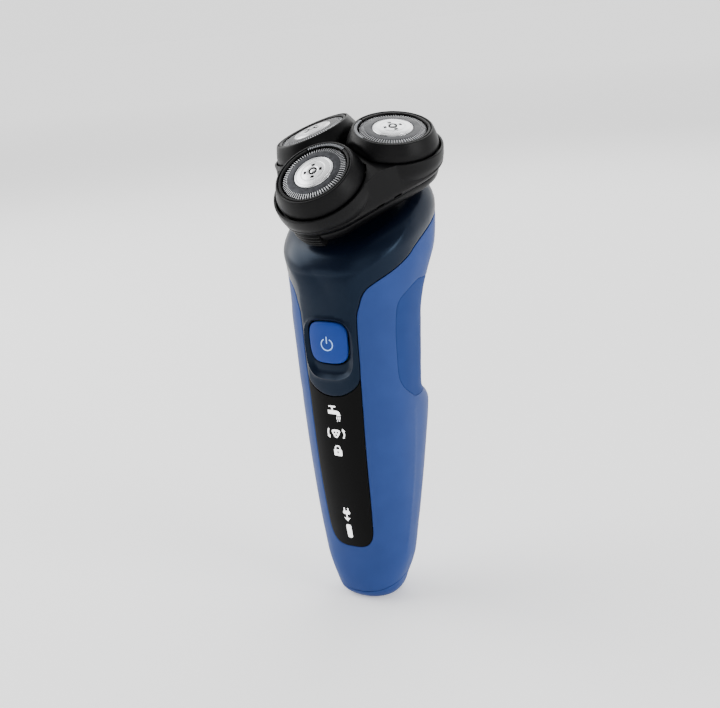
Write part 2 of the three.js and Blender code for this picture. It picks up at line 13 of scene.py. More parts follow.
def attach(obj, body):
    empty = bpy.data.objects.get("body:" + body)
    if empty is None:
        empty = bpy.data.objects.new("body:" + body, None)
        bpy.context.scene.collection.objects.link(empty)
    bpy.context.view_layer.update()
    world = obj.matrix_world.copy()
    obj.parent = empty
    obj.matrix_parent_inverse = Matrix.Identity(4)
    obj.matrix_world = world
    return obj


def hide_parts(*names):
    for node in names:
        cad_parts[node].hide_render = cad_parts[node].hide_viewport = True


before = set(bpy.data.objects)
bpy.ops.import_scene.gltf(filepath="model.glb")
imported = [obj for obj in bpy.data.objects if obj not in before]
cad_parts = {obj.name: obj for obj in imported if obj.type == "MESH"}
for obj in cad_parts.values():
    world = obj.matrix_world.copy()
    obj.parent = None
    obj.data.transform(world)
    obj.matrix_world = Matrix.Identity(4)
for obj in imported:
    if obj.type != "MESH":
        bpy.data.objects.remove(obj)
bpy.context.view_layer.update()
MM = 0.001

# ---- the frame of the head
HEAD_TILT = math.radians(22)
HEAD_AT = (0, 5.5, 150.8)
SPLAY = math.radians(15)
PITCH = 17.1  # from the head's axis to each guard's
HEAD_ANGLES = [math.radians(a) for a in (-90, 30, 150)]
ROW = Matrix.Translation((0, -8.18, 0))  # to the row's frame, whose origin is behind the foot's middle
HEAD = ROW @ Matrix.Translation(HEAD_AT) @ Matrix.Rotation(HEAD_TILT, 4, "X")
SPREAD = Matrix.Translation((PITCH, 0, 0)) @ Matrix.Rotation(SPLAY, 4, "Y")


def unit_matrix(angle):
    """From a guard's own frame, z along its axis and x outwards, to the row's frame."""
    return HEAD @ Matrix.Rotation(angle, 4, "Z") @ SPREAD


# ---- the handle's surface
# Rows from the inlet in the foot to the neck: row height v, height at the front, slope, half width,
# centre y, depth in front and behind, and the squareness in front and behind if it isn't the usual one.
LEAN = math.tan(HEAD_TILT)
USUAL = [2.2, 2.8]
BODY = np.array([row + USUAL[:9 - len(row)] for row in (
    [-6.0, 0.0, 0, 5.5, 0.0, 3.9, 3.9, 3.0, 3.0],
    [-1.0, 0.0, 0, 8.4, 0.5, 7.0, 5.4, 2.3, 2.7],
    [0.0, 0.2, 0, 9.1, 0.6, 7.7, 6.2],
    [0.9, 0.9, 0, 10.0, 0.5, 8.5, 7.1],
    [2.4, 2.4, 0, 11.1, 0.4, 9.6, 8.4],
    [6.0, 6.0, 0, 12.4, 0.4, 10.2, 10.0],
    [10.5, 10.5, 0, 14.2, 0.6, 10.5, 11.2],
    [14.5, 14.5, 0, 15.4, 0.9, 10.7, 11.2],
    [20.0, 20.0, 0, 16.2, 1.4, 11.5, 11.6],
    [30.0, 30.0, 0, 17.15, 2.2, 13.4, 14.2],
    [50.0, 50.0, 0, 18.55, 3.6, 16.1, 19.3],
    [62.5, 62.5, 0, 19.2, 4.0, 16.7, 22.7],
    [64.0, 64.0, 0, 19.25, 4.0, 16.7, 22.9],
    [66.5, 66.5, 0, 19.4, 4.1, 16.8, 21.2],
    [70.0, 70.0, 0, 19.5, 4.2, 16.9, 16.6],
    [71.5, 71.5, 0, 19.5, 4.2, 16.9, 15.8],
    [76.0, 76.0, 0, 19.8, 4.3, 17.0, 15.5],
    [84.0, 84.0, 0, 20.05, 4.6, 17.3, 16.4],
    [92.0, 92.0, 0, 20.4, 5.0, 17.6, 16.7],
    [97.5, 97.5, 0.02, 20.9, 5.9, 18.4, 15.5],
    [101.0, 101.0, 0.08, 21.2, 7.6, 20.1, 15.8],
    [105.5, 105.5, 0.12, 21.8, 9.4, 21.9, 18.6],
    [110.0, 110.0, 0.2, 22.5, 11.2, 23.6, 23.4],
    [115.0, 115.0, 0.32, 22.3, 12.0, 24.4, 25.0],
    [117.7, 117.7, 0.38, 21.0, 12.0, 23.6, 22.9],
    [119.2, 119.2, 0.4, 19.4, 12.0, 22.0, 20.6, 2.2, 2.7],
    [120.2, 119.8, LEAN, 17.6, 12.1, 20.2, 18.6, 2.2, 2.6],
    [128.0, 119.8, LEAN, 9.8, 13.74, 9.1, 9.1, 2.0, 2.0],
)])
FRONT_Y = -12.5  # a sloping row has its stated height here
V_END, V_TOP = BODY[0, 0], BODY[-1, 0]


def monotone(knots, values, x):
    """Smooth interpolation that never overshoots its knots (Fritsch and Carlson)."""
    step = np.diff(knots)
    slope = np.diff(values) / step
    tangent = np.zeros(len(knots))
    same = slope[:-1] * slope[1:] > 0
    harmonic = 2 * slope[:-1] * slope[1:] / np.where(same, slope[:-1] + slope[1:], 1)
    tangent[1:-1] = np.where(same, harmonic, 0)
    tangent[0], tangent[-1] = slope[0], slope[-1]
    i = np.clip(np.searchsorted(knots, x) - 1, 0, len(step) - 1)
    h = step[i]
    t = np.clip((x - knots[i]) / h, 0, 1)
    a = (1 + 2 * t) * (1 - t) ** 2 * values[i] + t * (1 - t) ** 2 * h * tangent[i]
    return a + t * t * (3 - 2 * t) * values[i + 1] + t * t * (t - 1) * h * tangent[i + 1]


def superellipse(phi, width, front, behind, n_front, n_behind):
    """x and y of a section at an angle from its front."""
    s, c = np.sin(phi), np.cos(phi)
    power = 2 / np.where(c > 0, n_front, n_behind)
    x = width * np.sign(s) * np.abs(s) ** power
    return x, -np.where(c > 0, front, behind) * np.sign(c) * np.abs(c) ** power


# u runs round the handle in millimetres of a middle section, 0 at the front and +-U_HALF at the back.
MIDDLE_SECTION = 18.5, 16.1, 19.3, *USUAL
PHI = np.linspace(0, math.pi, 2001)
ARC = np.concatenate([[0], np.cumsum(np.hypot(*np.diff(superellipse(PHI, *MIDDLE_SECTION))))])
U_HALF = ARC[-1]


def place(u, v):
    """Points of the bare handle."""
    u = (np.asarray(u, float) + U_HALF) % (2 * U_HALF) - U_HALF
    v = np.asarray(v, float)
    phi = np.sign(u) * np.interp(np.abs(u), ARC, PHI)
    z, slope, width, centre, front, behind, n_front, n_behind = (
        monotone(BODY[:, 0], BODY[:, k], v) for k in range(1, 9)
    )
    x, y = superellipse(phi, width, front, behind, n_front, n_behind)
    y = y + centre
    return np.stack([x, y, z + (y - FRONT_Y) * slope], -1)


NEARBY = 0.05  # reach of the differences that give the normal


def body_surface(uv, lift=0.0):
    """Points of the handle's surface, raised along its normal, in millimetres."""
    u, v = uv[:, 0], np.clip(uv[:, 1], V_END + 0.06, V_TOP - 0.06)
    across = place(u + NEARBY, v) - place(u - NEARBY, v)
    along = place(u, v + NEARBY) - place(u, v - NEARBY)
    normal = np.cross(across, along)
    normal /= np.linalg.norm(normal, axis=1)[:, None]
    return place(uv[:, 0], uv[:, 1]) + normal * np.reshape(lift, (-1, 1))


# Half of the surface, coarsely: every search starts here.
GRID_U, GRID_V = np.meshgrid(np.linspace(0, U_HALF, 300), np.linspace(0, 120, 600))
GRID = place(GRID_U, GRID_V)
REFINE = 6  # points on each side of the best one when a search narrows


def locate(x=None, y=None, z=None):
    """u, v of the point of the surface with these coordinates; without y it is on the front."""
    wanted = [(k, abs(c) if k == 0 else c) for k, c in enumerate((x, y, z)) if c is not None]
    us, vs, points = GRID_U, GRID_V, GRID
    for span in (0.3, 0.04, 0.004):
        off = sum((points[..., k] - c) ** 2 for k, c in wanted)
        if y is None:
            off = off + 100 * (us > U_HALF / 2)
        j = np.unravel_index(off.argmin(), off.shape)
        steps = np.linspace(-span, span, 2 * REFINE + 1)
        us, vs = np.meshgrid(us[j] + steps, vs[j] + steps)
        points = place(us, vs)
    return math.copysign(us[REFINE, REFINE], x or 1), vs[REFINE, REFINE]


def on_front(points):
    """u, v of points given by x and z, as the front view shows them."""
    return [locate(x=x, z=z) for x, z in points]


def on_side(points):
    """u, v of points given by y and z, as the side view shows them."""
    return [locate(y=y, z=z) for y, z in points]


def on_body(points):
    """u, v of points given by x, y and z."""
    return [locate(*p) for p in points]


# ---- plane geometry
def polar(radius, angle):
    return radius * math.cos(angle), radius * math.sin(angle)


def step_up(x, start, end):
    """0 to 1 between start and end, smoothly."""
    t = np.clip((x - start) / (end - start), 0, 1)
    return t * t * (3 - 2 * t)


def smooth(points, step=0.6):
    """A Catmull-Rom curve through the points, as points about a step apart."""
    p = np.array([points[0], *points, points[-1]], float)
    out = []
    for a, b, c, d in zip(p, p[1:], p[2:], p[3:]):
        count = max(2, int(np.linalg.norm(c - b) / step) + 1)
        for t in np.arange(count) / count:
            out.append(0.5 * (2 * b + (c - a) * t + (2 * a - 5 * b + 4 * c - d) * t * t
                              + (3 * b - a - 3 * c + d) * t ** 3))
    return np.array([*out, p[-1]])


def mirror(points):
    """The mirror image across the middle, run the other way."""
    return (np.asarray(points) * [-1, 1])[::-1]


def parallel(points, offset, closed=False):
    """The polyline moved to its right by an offset."""
    p = np.asarray(points, float)
    if closed:
        ahead = np.roll(p, -1, 0) - np.roll(p, 1, 0)
    else:
        ahead = np.gradient(p, axis=0)
    ahead /= np.maximum(np.linalg.norm(ahead, axis=1), 1e-9)[:, None]
    return p + offset * np.stack([ahead[:, 1], -ahead[:, 0]], 1)


def inside(points, loop):
    """Whether each point is inside the loop."""
    x, y = points[:, 0:1], points[:, 1:2]
    a, b = loop, np.roll(loop, -1, 0)
    crosses = (a[:, 1] > y) != (b[:, 1] > y)
    climb = np.where(b[:, 1] == a[:, 1], 1e-12, b[:, 1] - a[:, 1])
    return ((x < (b[:, 0] - a[:, 0]) * (y - a[:, 1]) / climb + a[:, 0]) & crosses).sum(1) % 2 == 1


def distance(points, starts, ends):
    """How far each point is from the nearest of the segments."""
    best = np.full(len(points), 1e9)
    for a, b in zip(starts, ends):
        ab = b - a
        t = np.clip(((points - a) @ ab) / max(ab @ ab, 1e-12), 0, 1)
        best = np.minimum(best, np.linalg.norm(points - a - t[:, None] * ab, axis=1))
    return best


# ---- meshes
PANEL_SHARP, GUARD_SHARP, SOLID_SHARP = 35, 40, 30  # degrees between faces from which an edge is sharp


def linked(name, data):
    obj = bpy.data.objects.new(name, data)
    bpy.context.scene.collection.objects.link(obj)
    return obj


def shade(obj, sharp):
    obj.data.shade_smooth()
    obj.data.set_sharp_from_angle(angle=math.radians(sharp))


@contextmanager
def edited(mesh):
    bm = bmesh.new()
    bm.from_mesh(mesh)
    yield bm
    bm.to_mesh(mesh)
    bm.free()


def tidy(mesh):
    """Welds doubled points, drops faces without area and turns the rest outwards."""
    with edited(mesh) as bm:
        bmesh.ops.remove_doubles(bm, verts=bm.verts, dist=1e-6)
        bmesh.ops.dissolve_degenerate(bm, edges=bm.edges, dist=1e-7)
        bmesh.ops.recalc_face_normals(bm, faces=bm.faces)


def thicken(obj, thickness):
    """Gives a sheet a wall, inwards."""
    wall = obj.modifiers.new("wall", "SOLIDIFY")
    wall.thickness, wall.offset = thickness * MM, -1
    return wall


def mesh_of(name, points, faces, matrix):
    """A mesh from points in millimetres."""
    mesh = bpy.data.meshes.new(name)
    mesh.from_pydata([matrix @ Vector(p) * MM for p in points], [], faces)
    return mesh


def make(name, points, faces, material, body, stands_for=(), matrix=ROW, sharp=PANEL_SHARP):
    """A finished piece."""
    mesh = mesh_of(name, points, faces, matrix)
    mesh.validate()
    return finish(linked(name, mesh), material, body, stands_for, sharp)


def finish(obj, material, body, stands_for, sharp):
    """Gives a piece its look, its body and the nodes that it stands for."""
    obj.data.materials.clear()
    obj.data.materials.append(material)
    shade(obj, sharp)
    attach(obj, body)
    if stands_for:
        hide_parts(*stands_for)
    return obj


EDGE_ROWS = (0.1, 0.28, 0.6)  # distances from an edge at which a row of points follows it
LINE_GAP = 0.4  # no grid point is nearer to an extra line than this


def tessellate(loops, step, free=None, extra=()):
    """Triangles that fill the first loop but not the others, with rows of points along the edges.

    An edge between two free points doesn't count as one. Points on the extra lines are kept.
    Gives the points, the triangles and each point's distance from the edge."""
    loops = [np.asarray(ring, float) for ring in loops]
    starts = np.concatenate(loops)
    ends = np.concatenate([np.roll(ring, -1, 0) for ring in loops])
    if free:
        real = ~(free(starts) & free(ends))
        starts, ends = starts[real], ends[real]

    def within(points):
        ok = inside(points, loops[0])
        for hole in loops[1:]:
            ok &= ~inside(points, hole)
        return ok

    def keep(points, clearance):
        points = points[within(points)]
        return points[distance(points, starts, ends) > clearance]

    rows = []
    for gap in EDGE_ROWS:
        both = [parallel(ring, side * gap, closed=True) for ring in loops for side in (-1, 1)]
        rows.append(keep(np.concatenate(both), gap * 0.93))  # none that cuts a corner
    low, high = loops[0].min(0), loops[0].max(0)
    gx, gy = np.meshgrid(np.arange(low[0] + step / 2, high[0], step),
                         np.arange(low[1], high[1], step * 0.87))  # nearly equilateral
    gx[1::2] += step / 2
    inner = keep(np.stack([gx.ravel(), gy.ravel()], 1), EDGE_ROWS[-1] + step * 0.45)
    for line in extra:
        line = keep(np.asarray(line, float), EDGE_ROWS[-1] + 0.1)
        inner = inner[distance(inner, line, line) > LINE_GAP]
        rows.append(line)
    points = np.concatenate([*loops, *rows, inner])
    edges, base = [], 0
    for ring in loops:
        count = len(ring)
        edges += [(base + i, base + (i + 1) % count) for i in range(count)]
        base += count
    found, _, triangles, *_ = delaunay_2d_cdt([Vector(p) for p in points], edges, [], 0, 1e-5)
    found = np.array([tuple(p) for p in found])
    triangles = np.array([t for t in triangles if len(t) == 3])
    triangles = triangles[within(found[triangles].mean(1))]
    used, triangles = np.unique(triangles, return_inverse=True)
    found = found[used]
    return found, triangles.reshape(-1, 3), distance(found, starts, ends)


WELD = 0.03  # points closer than this become one where a panel meets itself


def patch(name, loops, material, body, stands_for, lift=None, roll=0.3, thick=1.2, step=1.0, free=None,
          extra=()):
    """A panel of the handle inside a loop, less any others, with rounded edges and a wall.

    A panel that goes all the way round meets itself at its free points, and is welded there."""
    points, triangles, from_edge = tessellate(loops, step, free, extra)
    height = -roll * (1 - np.sqrt(1 - np.clip(1 - from_edge / roll, 0, 1) ** 2))
    if lift:
        height = height + lift(points)
    obj = make(name, body_surface(points, height), triangles.tolist(), material, body, stands_for)
    if free:
        with edited(obj.data) as bm:
            bmesh.ops.remove_doubles(bm, verts=bm.verts, dist=WELD * MM)
        shade(obj, PANEL_SHARP)
    thicken(obj, thick)


def rounded(profile, radius, steps=3, closed=False):
    """The profile with its corners rounded. A corner may give its own radius as a third number."""
    p = [np.array(q[:2], float) for q in profile]
    radii = [q[2] if len(q) > 2 else radius for q in profile]
    out = []
    count = len(p)
    for i, (b, r) in enumerate(zip(p, radii)):
        if not closed and i in (0, count - 1):
            out.append(tuple(b))
            continue
        a, c = p[i - 1], p[(i + 1) % count]
        to_a, to_c = a - b, c - b
        reach = min(r, 0.45 * np.linalg.norm(to_a), 0.45 * np.linalg.norm(to_c))
        start = b + to_a / np.linalg.norm(to_a) * reach
        end = b + to_c / np.linalg.norm(to_c) * reach
        for t in np.linspace(0, 1, steps + 1):
            out.append(tuple((1 - t) ** 2 * start + 2 * t * (1 - t) * b + t * t * end))
    return out


def revolve(profile, sides=96, shape=None):
    """Points and faces of a closed profile turned about z. shape(points, angles) may move them."""
    angles = np.linspace(0, math.tau, sides, endpoint=False)
    r, z = np.array(profile).T
    points = np.stack([np.outer(np.cos(angles), r), np.outer(np.sin(angles), r), np.tile(z, (sides, 1))], -1)
    if shape:
        points = shape(points, angles)
    count = len(profile)
    faces = []
    for i in range(sides):
        here, ahead = i * count, (i + 1) % sides * count
        for j in range(count):
            k = (j + 1) % count
            faces.append((here + j, ahead + j, ahead + k, here + k))
    return points.reshape(-1, 3), faces


def turned(name, profile, material, body, stands_for, matrix, sides=96, shape=None):
    """A turned piece. A profile that ends on the axis is welded there."""
    obj = make(name, *revolve(profile, sides, shape), material, body, stands_for, matrix)
    tidy(obj.data)
    shade(obj, PANEL_SHARP)


# ---- materials
def rgb(code):
    """Linear colour from a hex code."""
    parts = [int(code[i:i + 2], 16) / 255 for i in (0, 2, 4)]
    return (*[p / 12.92 if p <= 0.04045 else ((p + 0.055) / 1.055) ** 2.4 for p in parts], 1)


def ranged(nodes, links, value, low, high, start, end):
    """A node that goes from low to high while the value goes from start to end."""
    node = nodes.new("ShaderNodeMapRange")
    for socket, number in zip(("From Min", "From Max", "To Min", "To Max"), (start, end, low, high)):
        node.inputs[socket].default_value = number
    links.new(value, node.inputs["Value"])
    return node


class Shader:
    """A Principled material with noise on its colour, roughness and bump, in object space."""

    def __init__(self, name, colour, roughness, **sockets):
        self.material = bpy.data.materials.new(name)
        self.material["slot"] = name
        self.material.use_nodes = True
        self.nodes = self.material.node_tree.nodes
        self.links = self.material.node_tree.links
        self.bsdf = self.nodes["Principled BSDF"]
        self.colour, self.roughness = rgb(colour), roughness
        self.bsdf.inputs["Base Color"].default_value = self.colour
        self.bsdf.inputs["Roughness"].default_value = roughness
        for socket, value in sockets.items():
            self.bsdf.inputs[socket.replace("_", " ")].default_value = value
        self.where = self.nodes.new("ShaderNodeTexCoord").outputs["Object"]
        self.normal = None

    def noise(self, size, detail):
        """Noise whose features are about a size in millimetres."""
        node = self.nodes.new("ShaderNodeTexNoise")
        node.inputs["Scale"].default_value = 1 / (size * MM)
        node.inputs["Detail"].default_value = detail
        self.links.new(self.where, node.inputs["Vector"])
        return node.outputs["Fac"]

    def spread(self, value, low, high, start=0.3, end=0.7):
        return ranged(self.nodes, self.links, value, low, high, start, end).outputs["Result"]

    def mottle(self, size, amount):
        """Lighter and darker patches."""
        ramp = self.nodes.new("ShaderNodeMix")
        ramp.data_type = "RGBA"
        for socket, change in (("A", 1 - amount), ("B", 1 + amount)):
            ramp.inputs[socket].default_value = (*[min(1, c * change) for c in self.colour[:3]], 1)
        self.links.new(self.spread(self.noise(size, 4), 0, 1), ramp.inputs["Factor"])
        self.links.new(ramp.outputs["Result"], self.bsdf.inputs["Base Color"])
        return self

    def polish(self, size, amount):
        """Roughness that wanders, as on handled plastic."""
        fac = self.spread(self.noise(size, 5), self.roughness - amount, self.roughness + amount)
        self.links.new(fac, self.bsdf.inputs["Roughness"])
        return self

    def soften(self, radius):
        """Rounds the shading of sharp edges."""
        bevel = self.nodes.new("ShaderNodeBevel")
        bevel.inputs["Radius"].default_value = radius * MM
        self.normal = bevel.outputs["Normal"]
        return self

    def grain(self, size, depth, strength):
        """Fine relief. Several calls stack."""
        bump = self.nodes.new("ShaderNodeBump")
        bump.inputs["Distance"].default_value = depth * MM
        bump.inputs["Strength"].default_value = strength
        self.links.new(self.noise(size, 3), bump.inputs["Height"])
        if self.normal:
            self.links.new(self.normal, bump.inputs["Normal"])
        self.normal = bump.outputs["Normal"]
        self.links.new(self.normal, self.bsdf.inputs["Normal"])
        return self


def moulded(name, colour, roughness, radius):
    """Plastic whose cut edges catch the light as rounded ones do."""
    made = Shader(name, colour, roughness, Specular_IOR_Level=0.12).soften(radius)
    return made.mottle(9, 0.06).polish(12, 0.06).grain(0.3, 0.02, 0.35).grain(3.0, 0.02, 0.15).material


def metal(name, colour, roughness, patches, amount):
    """Bare metal with patches of a size in millimetres."""
    made = Shader(name, colour, roughness, Metallic=1.0).soften(0.06)
    return made.mottle(patches, amount).polish(4, 0.07).grain(0.15, 0.008, 0.3).material


def satin(name, colour, roughness, grain=0.35, **sockets):
    """Painted or moulded plastic with a fine even grain."""
    made = Shader(name, colour, roughness, **sockets)
    return made.mottle(9, 0.05).polish(14, 0.05).grain(grain, 0.02, 0.35).grain(3.0, 0.02, 0.15).material


def glowing(name, colour, strength):
    """A lit sign."""
    made = Shader(name, colour, 0.4, Emission_Strength=strength)
    made.bsdf.inputs["Emission Color"].default_value = rgb(colour)
    return made.mottle(2, 0.04).polish(3, 0.05).grain(0.3, 0.004, 0.2).material


BLUE = satin("housing_blue", "2A3F75", 0.42, Specular_IOR_Level=0.06)
GRIP = satin("grip_blue", "263A6C", 0.5, grain=0.5, Specular_IOR_Level=0.02)
NAVY = satin("cover_navy", "060B18", 0.34, Specular_IOR_Level=0.2, Specular_Tint=(0.45, 0.68, 1, 1))
BUTTON = satin("button_blue", "14357F", 0.4, grain=0.25, Specular_IOR_Level=0.15)
BLACK = moulded("head_black", "040405", 0.42, 0.2)
PAINTED_SHADE = satin("dark_mark", "050505", 0.6, Specular_IOR_Level=0.05)
# painted shade: a near-black material laid where grooves, slots and the guard's slit sides fall into shade
RUBBER = satin("seal_rubber", "101011", 0.8, grain=0.2)
GLOSS = Shader("display_black", "010101", 0.18, Specular_IOR_Level=0.07)
GLOSS = GLOSS.polish(20, 0.03).grain(30, 0.02, 0.1).material
GUARD = metal("guard_steel", "2C2D30", 0.4, 1.2, 0.4)
# painted highlight: a lighter copy of the guard steel, laid on the slotted bars
BARS_HIGHLIGHT = metal("guard_steel", "A2A3A6", 0.3, 2, 0.1)
SILVER = metal("disc_silver", "D9DADC", 0.24, 5, 0.03)
STEEL = metal("works_steel", "8D8F93", 0.35, 12, 0.04)
BRASS = metal("contact_brass", "C8A04A", 0.3, 2, 0.1)
IVORY = satin("works_ivory", "DCD8CC", 0.45, grain=0.3, Subsurface_Weight=0.1)
BOARD = Shader("board_green", "1D5C34", 0.4, Coat_Weight=0.4)
BOARD = BOARD.mottle(3, 0.2).polish(4, 0.1).grain(0.8, 0.05, 0.4).material
CELL = Shader("cell_wrap", "2F7D4C", 0.3, Coat_Weight=0.3)
CELL = CELL.mottle(12, 0.06).polish(8, 0.08).grain(6, 0.05, 0.2).material
LIGHT = glowing("display_light", "FFFFFF", 1.3)
MARK = glowing("button_mark", "8DB8F8", 0.35)


# ---- how the handle is divided
GAP = 0.04  # half of the joint between two panels
V_CROWN = 127.4  # the cover ends here, under the neck collar
TONGUE = smooth(on_front([(0.01, 73.9), (3.5, 74.4), (6.7, 76.0), (8.8, 78.0), (9.85, 80.2)]), 0.4)
COVER_SIDE = smooth([
    *on_front([(9.85, 80.2), (10.05, 85), (10.1, 92), (10.3, 99), (10.7, 101.6)]),
    *on_body([(11.5, -10, 104.0), (12.2, -9.5, 106.3), (13.6, -8.4, 108.5), (15.7, -6.8, 110.1),
              (17.9, -4.2, 111.7), (20.3, 0, 113.8), (21.8, 4.8, 116.3), (22.3, 11.7, 120.0)]),
    (U_HALF * 0.72, 114.2),
    (U_HALF * 0.86, 114.4),
    (U_HALF, 114.4),
])
DISPLAY_SIDE = smooth(on_front([
    (0.01, 20.2), (3.0, 20.25), (5.4, 21.0), (7.1, 22.8), (8.0, 25.6), (8.4, 30), (8.9, 40),
    (9.2, 51), (9.45, 62), (9.65, 72), (9.85, 80.2),
]))


def seam_height(u):
    """Height of the bottom cap's seam, which climbs towards the back."""
    _, y, _ = np.moveaxis(place(u, np.full(np.shape(u), 4.0)), -1, 0)
    return 3.0 + 0.36 * np.clip(y + 9.8, 0, 14) + 0.1 * np.clip(y - 4.2, 0, 9)


def at_back(p):
    """The points where a panel that goes all the way round meets itself, at the back."""
    return np.abs(p[:, 0]) > U_HALF - 1e-6


def level(start, end, count, v):
    """A level line across the surface."""
    return np.stack([np.linspace(start, end, count), np.full(count, v)], 1)


def rise(u, low, high):
    """A straight line up the surface at u."""
    vs = np.linspace(low, high, int(abs(high - low) / 0.8) + 2)
    return np.stack([np.full(len(vs), u), vs], 1)


def looped(*runs):
    """One loop from runs of points, without doubled corners."""
    points = np.concatenate(runs)
    return points[np.linalg.norm(points - np.roll(points, 1, 0), axis=1) > 0.02]


# ---- front cover
def on_strip(height):
    """u, v of a point on the line of the button and the signs, a little left of the middle."""
    return np.array(locate(x=0, z=height)) - (0.2, 0)


def resample(loop, step):
    """The closed loop with even spacing."""
    loop = np.vstack([loop, loop[:1]])
    run = np.concatenate([[0], np.cumsum(np.linalg.norm(np.diff(loop, axis=0), axis=1))])
    t = np.linspace(0, run[-1], int(run[-1] / step), endpoint=False)
    return np.stack([np.interp(t, run, loop[:, 0]), np.interp(t, run, loop[:, 1])], 1)


def squircle(centre, half_width, half_height, power):
    """A rounded rectangle, squarer for a higher power."""
    t = np.linspace(0, math.tau, 120, endpoint=False)
    c, s = np.cos(t), np.sin(t)
    x = np.sign(c) * np.abs(c) ** (2 / power) * half_width
    y = np.sign(s) * np.abs(s) ** (2 / power) * half_height
    return resample(np.stack([x, y], 1) + centre, 0.5)


BUTTON_AT = on_strip(91.3)
BUTTON_EDGE = squircle(BUTTON_AT + (0, 0.3), 6.6, 6.8, 3.5)
BUTTON_HOLE = squircle(BUTTON_AT + (0, 0.3), 6.85, 7.05, 3.5)
DISH = squircle(BUTTON_AT - (0, 1.75), 7.95, 9.7, 3.3)
DISH_DEPTH, DISH_RIM = 1.0, 0.3
BEVEL_SLOPE, BEVEL_FADE = 0.2, 6  # rise per millimetre, and how far past the bevel its height is gone
BROW_V, BROW_HEIGHT = 113.4, 0.2


def bevel_width(v):
    """The cover's flat bevel beside the housing widens towards the shoulders."""
    return 1.4 + 3.6 * step_up(v, 101, 112)


def cover_lift(p):
    """The dish round the button and its rim, the bevels at the sides, and a faint brow across the crown."""
    side = np.where(inside(p, DISH), 1, -1)
    into_dish = side * distance(p, DISH, np.roll(DISH, -1, 0))
    rim = DISH_RIM * np.exp(-((into_dish + 0.15) / 0.25) ** 2)
    lift = -DISH_DEPTH * step_up(into_dish, -0.05, 1.8) + rim
    to_side = np.minimum(distance(p, COVER_SIDE[:-1], COVER_SIDE[1:]),
                         distance(p * [-1, 1], COVER_SIDE[:-1], COVER_SIDE[1:]))
    wide = bevel_width(p[:, 1])
    faded = 1 - np.clip((to_side - wide) / BEVEL_FADE, 0, 1)
    lift += BEVEL_SLOPE * np.minimum(to_side, wide) * faded
    brow = BROW_HEIGHT * np.exp(-(np.abs(p[:, 0]) / 11) ** 4)
    over, under = step_up(p[:, 1], BROW_V - 0.5, BROW_V + 0.4), step_up(BROW_V + 5 - p[:, 1], 0, 5)
    return lift + brow * over * under


edge = parallel(COVER_SIDE, -GAP)
edge[-1, 0] = U_HALF
tongue = parallel(TONGUE, -GAP)
crown_back = rise(U_HALF, edge[-1, 1], V_CROWN)
crown_top = level(U_HALF, -U_HALF, 140, V_CROWN)
cover_loop = looped(tongue, edge, crown_back, crown_top, mirror(crown_back), mirror(edge), mirror(tongue))
rings = [parallel(DISH, g, closed=True) for g in (-1.6, -1.1, -0.7, -0.35, -0.1, 0.1, 0.3, 0.6)]
for g in (-0.35, 0, 0.35):
    crease = COVER_SIDE + (parallel(COVER_SIDE, -1) - COVER_SIDE) * (bevel_width(COVER_SIDE[:, 1:2]) + g)
    rings += [crease, mirror(crease)]
brow_lines = [level(-13, 13, 40, BROW_V + g) for g in (-0.5, -0.1, 0.3)]
patch("cover_panel", [cover_loop, BUTTON_HOLE[::-1]], NAVY, "handle", ["front_cover"],
      lift=cover_lift, roll=0.45, thick=1.6, free=at_back, extra=rings + brow_lines)


# ---- power button
def button_lift(p):
    """A crowned cap with a faint hollow in its middle."""
    out = np.hypot(*(p - BUTTON_AT).T)
    return 0.05 - 0.35 * (out / 7.5) ** 2 + 0.18 * step_up(out, 0, 6.5)


patch("button_cap", [BUTTON_EDGE], BUTTON, "button", ["power_button"],
      lift=button_lift, roll=0.75, thick=1.5, step=0.7)


# ---- signs
def arc(radius, start, end, centre=(0, 0), steps=24):
    """Points of an arc, angles in degrees from the right."""
    t = np.radians(np.linspace(start, end, steps))
    return np.stack([np.cos(t), np.sin(t)], 1) * radius + centre


def band(r0, r1, start, end, steps=24):
    """An arc-shaped band."""
    return np.concatenate([arc(r1, start, end, steps=steps), arc(r0, start, end, steps=steps)[::-1]])


def dot(centre):
    return arc(0.36, 0, 359, centre, 16)


def lozenge(x0, x1, z0, z1, radius):
    """A rectangle with round corners."""
    left, right, low, high = x0 + radius, x1 - radius, z0 + radius, z1 - radius
    middles = (right, high), (left, high), (left, low), (right, low)
    return np.concatenate([arc(radius, 90 * k, 90 * k + 90, at, 7) for k, at in enumerate(middles)])


def filled(loop):
    """The loop with more points along its long sides."""
    out = []
    for a, b in zip(loop, np.roll(loop, -1, 0)):
        count = max(1, math.ceil(np.linalg.norm(b - a) / 0.4))
        out += [a + (b - a) * k / count for k in range(count)]
    return np.array(out)


def slanted(x, z, length):
    """A short leaning stroke down from a point."""
    return np.array([(x, z), (x - 0.12, z - length), (x - 0.4, z - length), (x - 0.28, z)])


SIGN_LIFT, SIGN_THICK = 0.04, 0.1


def sign(name, centre, shapes, material, body, lift=None):
    """Thin raised shapes on the surface. Each shape is an outline and its holes."""
    points, faces = [], []
    for loops in shapes:
        found, triangles, _ = tessellate([filled(ring) + centre for ring in loops], 0.5)
        faces += (triangles + sum(map(len, points))).tolist()
        points.append(found)
    flat = np.concatenate(points)
    height = SIGN_LIFT + (lift(flat) if lift else 0)
    thicken(make(name, body_surface(flat, height), faces, material, body), SIGN_THICK)


power_ring = [band(1.72, 2.04, 118, 422, steps=48)]
power_bar = [lozenge(-0.16, 0.16, 0.3, 2.6, 0.15)]
sign("power_sign", BUTTON_AT + (0, -0.2), [power_ring, power_bar], MARK, "button", button_lift)

